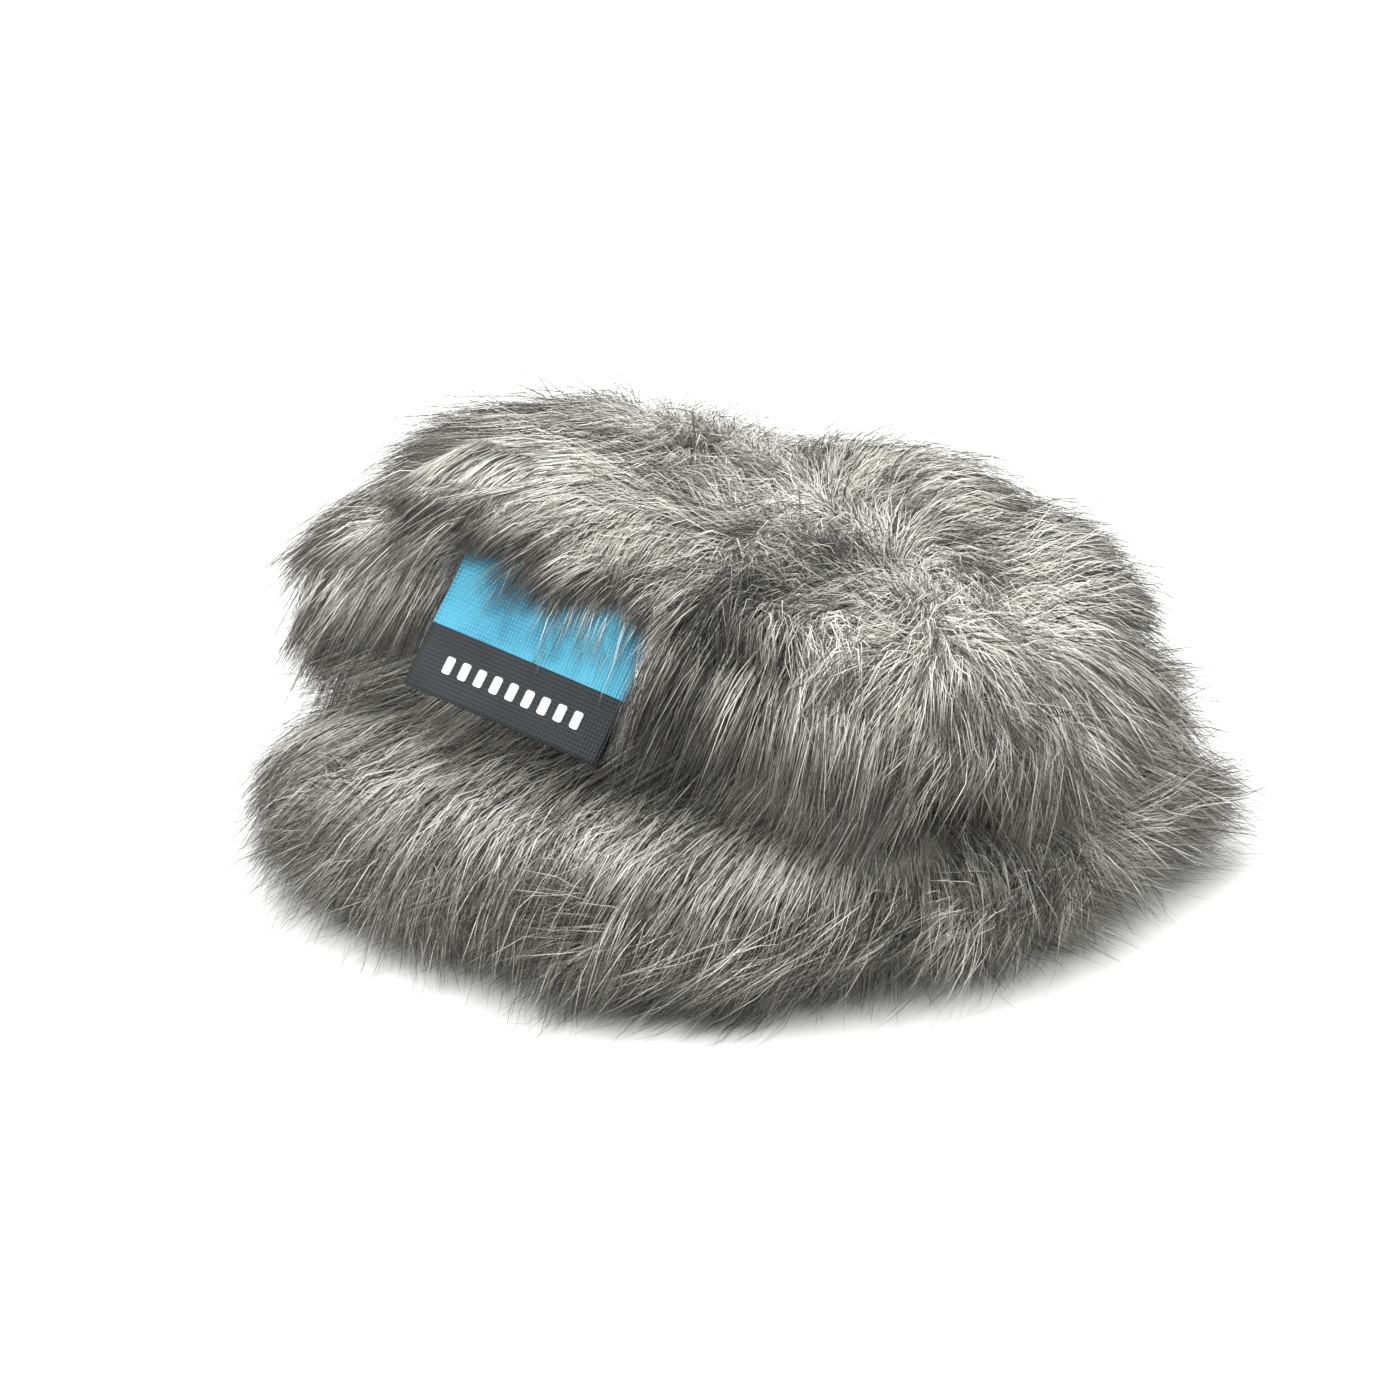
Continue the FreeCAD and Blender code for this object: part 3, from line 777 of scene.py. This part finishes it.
def clearLabel(rng, line):
    # hair from above lies over the sewn end only; hair from behind stays behind
    nodes, count = line.shape[:2]
    local = moved(line, labelMatrix.inverted())
    x, y, z = local[..., 0], local[..., 1], local[..., 2]
    lowest = -0.0045 - 0.0030 * np.sin(x * 260 + 1.0)
    lowest = lowest - 0.0085 * np.exp(-((x - overLabel["lockX"]) / 0.0035) ** 2)
    lowest -= rng.exponential(0.0014, count)[None, :]
    besideEdge = overLabel["halfWidth"] - rng.exponential(0.0007, count)[None, :]
    behind = local[0, :, 2] < -0.0015
    barred = (np.abs(x) < besideEdge) & (y < lowest) & (y > overLabel["freeEnd"])
    barred = barred & (z > -0.0015) & (z < overLabel["height"])
    first = np.where(barred.any(axis=0), barred.argmax(axis=0), nodes)
    fromAbove = (first < nodes) & ~(behind & (local[0, :, 1] < -0.004))
    share = np.where(fromAbove, np.clip((first - 0.75) / (nodes - 1), 0.12, 1), 1)
    local = local[0] + (local - local[0]) * share[None, :, None]
    x, y, z = local[..., 0], local[..., 1], local[..., 2]
    inside = (np.abs(x) < overLabel["roomyHalfWidth"]) & (y < 0.002) & (y > overLabel["freeEnd"])
    front = inside & fromAbove[None, :] & (z > -0.004)
    local[..., 2] = np.where(front, np.maximum(z, overLabel["front"]), z)
    pressed = np.minimum(local[..., 2], overLabel["back"])
    local[..., 2] = np.where(inside & ~front, pressed, local[..., 2])
    return moved(local, labelMatrix)


def furOf(name, seed, count, s0, s1, density, comb, lift, droop, length, shape):
    rng = np.random.default_rng(seed)
    roots, normals = scatter(rng, count, s0, s1, density)
    flow, mess = comb(roots, normals)
    long = pile["length"] * length(roots, normals) * rng.uniform(0.70, 1.12, count)
    wisps = rng.random(count) < pile["wispShare"]
    long = np.where(wisps, long * pile["wispLength"], long) * (1 - 0.38 * mess)
    lifts = lift(roots, normals) * rng.uniform(0.75, 1.3, count) * (1 + 0.5 * mess)
    frizz = rng.uniform(0.08, 0.34, count) * (1 + 1.5 * mess)
    line = growStrands(rng, roots, normals, flow, long, lifts, droop(roots, normals), frizz)
    line = gather(rng, line, pile["lockSpacing"], pile["lockHold"], pile["lockPower"])[0]
    line, tuft = gather(rng, line, pile["tuftSpacing"], pile["tuftHold"], pile["tuftPower"])
    line = trim(rng, line, wisps, tuft)
    line = shape(rng, line)
    line[..., 2] = np.maximum(line[..., 2], pile["floorGap"])
    line[..., 2] = softCeiling(line[..., 2], cadHigh.z + pile["roomAbove"])
    line[..., 0] = -softCeiling(-line[..., 0], pile["roomBeside"] - cadLow.x, 0.5)
    radius = pile["rootRadius"] * rng.uniform(0.7, 1.35, count)
    radius = radius * np.where(wisps, pile["wispWidth"], 1.0)
    return strandPieces(name, line, strandTones(rng, roots, mess, tuft, wisps), radius)


def labelFringe(seed):
    # tufts rooted behind the label that arch over its sewn end, one lock reaching further down
    rng = np.random.default_rng(seed)
    count, nodes = overLabel["strands"], pile["nodes"]
    x = rng.uniform(-0.041, 0.039, count)
    lock = rng.random(count) < 0.05
    x = np.where(lock, rng.normal(overLabel["lockX"], 0.0018, count), x)
    back = rng.uniform(0.001, 0.022, count)
    reach = 0.0055 + 0.0030 * np.sin(x * 300 + 0.5) + 0.0020 * np.sin(x * 820)
    reach = reach + rng.exponential(0.0018, count)
    reach = np.where(lock, rng.uniform(0.017, 0.023, count), reach)
    lean = -0.16 + x * 9 + 0.30 * np.sin(x * 150) + rng.normal(0, 0.22, count)
    fade = np.clip((0.040 - np.abs(x + 0.001)) / 0.016, 0.15, 1)
    high = rng.uniform(0.0020, 0.0075, count) * fade
    root = np.stack([x, back, -0.004 - back * 0.62], -1)
    crest = np.stack([x + lean * 0.004, 0.005 + back * 0.30, high], -1)
    tip = np.stack([x + lean * (0.006 + reach), -reach, rng.uniform(0.0016, 0.0060, count)], -1)
    t = np.linspace(0, 1, nodes)[:, None, None]
    local = root * (1 - t) ** 2 + crest * 2 * t * (1 - t) + tip * t ** 2
    local[..., 2] = np.where(local[..., 1] < 0.002, np.maximum(local[..., 2], 0.0018), local[..., 2])
    line = moved(local, labelMatrix)
    line, tuft = gather(rng, line, overLabel["spacing"], overLabel["hold"], overLabel["power"])
    radius = pile["rootRadius"] * rng.uniform(0.6, 1.2, count)
    tone = strandTones(rng, line[0], np.zeros(count), tuft, lock) * 0.86
    return strandPieces("labelFringe", line, tone, radius)


def droopEdge(points):
    # the right-hand front corner of the upper layer hangs over the lower one
    return ramp(points[..., 0], 0.030, 0.04) * ramp(-points[..., 1], -0.075, 0.05)


def partedByZip(line):
    # hair rooted above the zip stays above it, hair below stays below, closing up further out
    middle, half = (zipLow.y + zipHigh.y) / 2, (zipHigh.y - zipLow.y) / 2
    run = np.clip((half + 0.016 - np.abs(line[..., 1] - middle)) / 0.010, 0, 1)
    near = ramp(-line[..., 0], 0.077, 0.003) * run
    edge = 0.0072 - 0.0045 * ramp(-line[..., 0], 0.086, 0.025)
    above = (line[0, :, 2] > upperMid)[None, :]
    held = np.where(above, np.maximum(line[..., 2], upperMid + edge),
                    np.minimum(line[..., 2], upperMid - edge))
    line[..., 2] += (held - line[..., 2]) * near
    return line


def shapeUpper(rng, line):
    # between the layers the hair is pressed flat; past the front edge it may hang lower
    inside = ramp(line[..., 1], upperLow.y + 0.012, 0.02)
    past = np.maximum(1 - inside, droopEdge(line) * (line[..., 0] > 0.082))
    line[..., 2] = softFloor(line[..., 2], foldZ + pile["layerGap"] - past * 0.016)
    return clearLabel(rng, partedByZip(line))


def shapeLower(rng, line):
    # pressed flat under the upper layer, a little lower still where that one has settled
    under = ramp(line[..., 1], upperLow.y + 0.004, 0.02)
    ceiling = foldZ - pile["layerGap"] + (1 - under) * 0.004 - rightBack(line) * 0.003
    line[..., 2] = softCeiling(line[..., 2], ceiling)
    return line


def shapeFold(rng, line):
    return line


def densityUpper(points, normals):
    seen = np.where(normals[:, 2] > -0.3, 1.0, 0.35)
    return seen * (1 - 0.97 * (parting(points) > 0.3))


def densityHem(points, normals):
    # most of it on the upper lip, so that it hangs over the mouth
    return np.where(normals[:, 2] > 0, 1.0, 0.22)


def densityLower(points, normals):
    front = points[:, 1] < upperLow.y + 0.03
    up = normals[:, 2] > 0.3
    down = normals[:, 2] < -0.5
    return np.where(down, 0.3, np.where(up & ~front, 0.35, 1.0))


def liftUpper(roots, normals):
    high = nearness(roots, *pile["lifted"])
    low = ramp(roots[:, 0] + 0.6 * roots[:, 1], 0.06, 0.05)
    back = ramp(roots[:, 1], 0.045, 0.02)
    return np.where(normals[:, 2] < -0.3, 0.25, 0.74 + 0.18 * high - 0.34 * np.maximum(low, back))


def liftLower(roots, normals):
    covered = (normals[:, 2] > 0.3) & (roots[:, 1] > upperLow.y)
    return np.where(normals[:, 2] < -0.3, 0.2, np.where(covered, 0.22, 0.8))


def droopUpper(roots, normals):
    high = nearness(roots, *pile["stiffest"])
    front = ramp(-roots[:, 1], 0.010, 0.03) * (normals[:, 2] > 0.2)
    return 0.42 + 0.5 * droopEdge(roots) + 0.55 * front - 0.35 * high


def droopLower(roots, normals):
    return np.full(len(roots), 0.55)


def full(roots, normals):
    return np.ones(len(roots))


upperFur = furOf("mouthHalfPile", 31, pile["upperStrands"], foldEnd, pathEnd, densityUpper,
                 combUpper, liftUpper, droopUpper, full, shapeUpper)
hemFur = furOf("hemPile", 34, pile["hemStrands"], pathEnd - 0.012, pathEnd, densityHem,
               combHem, lambda r, n: 0.10 * full(r, n), lambda r, n: np.where(n[:, 2] < 0, 0.5, 1.5),
               lambda r, n: np.where(n[:, 2] < 0, 0.5, 1.12), shapeUpper)
fringe = labelFringe(35)
lowerFur = furOf("noseHalfPile", 32, pile["lowerStrands"], 0.0, foldStart, densityLower,
                 combLower, liftLower, droopLower, full, shapeLower)
foldFur = furOf("foldPile", 33, pile["foldStrands"], foldStart, foldEnd, full, combFold,
                lambda r, n: 0.36 * full(r, n), lambda r, n: 0.55 * full(r, n), full, shapeFold)
print("pile grown")

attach(noseFabric, "root")
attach(mouthFabric, "mouth_half")
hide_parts("nose_panel", "lower_body_panel")
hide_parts("upper_body_panel")
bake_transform(foldFabric)
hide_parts("fold_panel")
for piece in upperFur + hemFur:
    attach(piece, "mouth_half")
# the fringe is rooted in the fur and its ends lie on the label
for piece in fringe:
    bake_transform(piece)
for piece in lowerFur:
    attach(piece, "root")
for piece in foldFur:
    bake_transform(piece)


# the woven label
label = {
    "width": 0.050, "length": 0.042, "band": 0.0150, "ply": 0.0007, "gap": 0.0004,
    "bow": 0.0012,
    # plain satin dashes on the band
    "dashes": 9, "dashRow": 0.74, "dashHeight": 0.0042, "dashShare": 0.52, "dashRound": 0.0005,
    "dashSunk": 0.0002, "dashRaised": 0.00016,
}


def bowed(x, y):
    # the ribbon is a little crowned across and wavy along, more so towards its free end
    free = ramp(-y, 0, 0.02)
    return free * (label["bow"] * (0.4 - (x / label["width"] * 2) ** 2) + 0.0007 * np.sin(y * 90 + x * 60))


def labelProfile():
    # the ribbon's middle line in its own YZ plane: back ply, folded end, front ply
    half = (label["ply"] + label["gap"]) / 2
    run = label["length"] - half - label["ply"] / 2
    points = [(-run * t, -half) for t in np.linspace(0, 1, 15)]
    for angle in np.linspace(-90, 90, 9)[1:-1]:
        a = math.radians(angle)
        points.append((-run - half * math.cos(a), half * math.sin(a)))
    points += [(-run * t, half) for t in np.linspace(1, 0, 31)]
    return np.array(points)


def makeLabel():
    line = labelProfile()
    count = len(line)
    tangent = unit(np.gradient(line, axis=0))
    normal = np.stack([tangent[:, 1], -tangent[:, 0]], -1)
    across = np.linspace(-0.5, 0.5, 33) * label["width"]
    distance = np.concatenate([[0], np.cumsum(np.linalg.norm(np.diff(line, axis=0), axis=1))])
    points, uv = [], []
    for skin in (-1, 1):
        for i in range(count):
            y, z = line[i] + normal[i] * label["ply"] / 2 * skin
            for x in across:
                points.append((x, y, z + float(bowed(x, y))))
                uv.append((x, distance[i]))
    wide = len(across)
    shift = count * wide
    faces, kinds = [], []
    for i in range(count - 1):
        kind = 1 if line[i][0] < -(label["length"] - label["band"]) else 0
        for j in range(wide - 1):
            a, b, c, d = i * wide + j, i * wide + j + 1, (i + 1) * wide + j + 1, (i + 1) * wide + j
            faces.append((a, d, c, b))
            faces.append((shift + a, shift + b, shift + c, shift + d))
            kinds += [kind, kind]
        for j in (0, wide - 1):
            a, d = i * wide + j, (i + 1) * wide + j
            faces.append((a, shift + a, shift + d, d) if j == 0 else (d, shift + d, shift + a, a))
            kinds.append(1)
    for i in (0, count - 1):
        for j in range(wide - 1):
            a, b = i * wide + j, i * wide + j + 1
            faces.append((a, b, shift + b, shift + a) if i == 0 else (b, a, shift + a, shift + b))
            kinds.append(0)
    piece = meshFrom("wovenLabelRibbon", points, faces, [labelTurquoise, labelCharcoal], kinds, uv)
    piece.data.transform(labelMatrix)
    return piece


def makeLabelDashes():
    # a plain row of raised satin dashes, all alike, where a maker would weave a name
    points, faces = [], []
    pitch = label["width"] * label["dashRow"] / label["dashes"]
    surface = (label["ply"] * 2 + label["gap"]) / 2
    middle = -label["length"] + label["band"] * 0.52
    half, deep = pitch * label["dashShare"] / 2, label["dashHeight"] / 2
    rounding = label["dashRound"]
    for n in range(label["dashes"]):
        x = (n - (label["dashes"] - 1) / 2) * pitch
        ring = []
        for cx, cy, turn in ((1, 1, 0), (-1, 1, 90), (-1, -1, 180), (1, -1, 270)):
            for angle in (0, 45, 90):
                a = math.radians(turn + angle)
                ring.append((x + cx * (half - rounding) + rounding * math.cos(a),
                             middle + cy * (deep - rounding) + rounding * math.sin(a)))
        first, size = len(points), len(ring)
        for level in (surface - label["dashSunk"], surface + label["dashRaised"]):
            for px, py in ring:
                points.append((px, py, level + float(bowed(px, py))))
        faces.append(tuple(first + size + k for k in range(size)))
        faces.append(tuple(first + size - 1 - k for k in range(size)))
        for k in range(size):
            m = (k + 1) % size
            faces.append((first + k, first + m, first + size + m, first + size + k))
    piece = meshFrom("wovenLabelDashes", points, faces, [labelWhite], None, [(p[0], p[1]) for p in points])
    piece.data.polygons.foreach_set("use_smooth", np.zeros(len(piece.data.polygons), bool))
    piece.data.transform(labelMatrix)
    return piece


labelRibbon = makeLabel()
labelDashes = makeLabelDashes()
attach(labelRibbon, "label")
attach(labelDashes, "label")
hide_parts("woven_label")
print("label made")


# floor, light, camera
studio = {
    "azimuth": 38.0, "elevation": 22.0, "distance": 0.80, "lens": 85.0,
    "lookAt": (-0.006, 0.0, 0.040),
    "floor": "#f4f4f3", "floorHalf": 9.0, "world": 0.92,
    # power, size, azimuth from the camera's, elevation, distance
    "lights": {"key": (16.0, 0.9, -40, 55, 1.3), "fill": (3.0, 1.2, 60, 30, 1.4),
               "top": (10.0, 1.0, 170, 70, 1.3)},
}


def makeFloor():
    half = studio["floorHalf"]
    piece = meshFrom("floor", [(-half, -half, 0), (half, -half, 0), (half, half, 0), (-half, half, 0)],
                     [(0, 1, 2, 3)], [])
    finish = {"Roughness": 0.75, "Base Color": linear(studio["floor"])}
    piece.data.materials.append(startMaterial("paintedFloor", finish)[0])


def standBack(thing, azimuth, elevation, distance):
    # away from the point looked at and facing it; azimuth 0 is in front
    a, e = math.radians(azimuth), math.radians(elevation)
    back = Vector((math.sin(a) * math.cos(e), -math.cos(a) * math.cos(e), math.sin(e)))
    thing.location = Vector(studio["lookAt"]) + back * distance
    thing.rotation_mode = "QUATERNION"
    thing.rotation_quaternion = back.to_track_quat("Z", "Y")
    bpy.context.scene.collection.objects.link(thing)


def makeLight(name, power, size, turn, elevation, distance):
    data = bpy.data.lights.new(name, "AREA")
    data.energy, data.size = power, size
    lamp = bpy.data.objects.new(name, data)
    standBack(lamp, studio["azimuth"] + turn, elevation, distance)


def makeCamera():
    data = bpy.data.cameras.new("camera")
    data.lens = studio["lens"]
    camera = bpy.data.objects.new("camera", data)
    standBack(camera, studio["azimuth"], studio["elevation"], studio["distance"])
    bpy.context.scene.camera = camera


makeFloor()
for lightName, numbers in studio["lights"].items():
    makeLight(lightName, *numbers)
world = bpy.data.worlds.new("studio")
world.use_nodes = True
world.node_tree.nodes["Background"].inputs["Color"].default_value = (1, 1, 1, 1)
world.node_tree.nodes["Background"].inputs["Strength"].default_value = studio["world"]
bpy.context.scene.world = world
bpy.context.scene.view_settings.view_transform = "Standard"
makeCamera()
print("studio made")

bpy.context.view_layer.update()
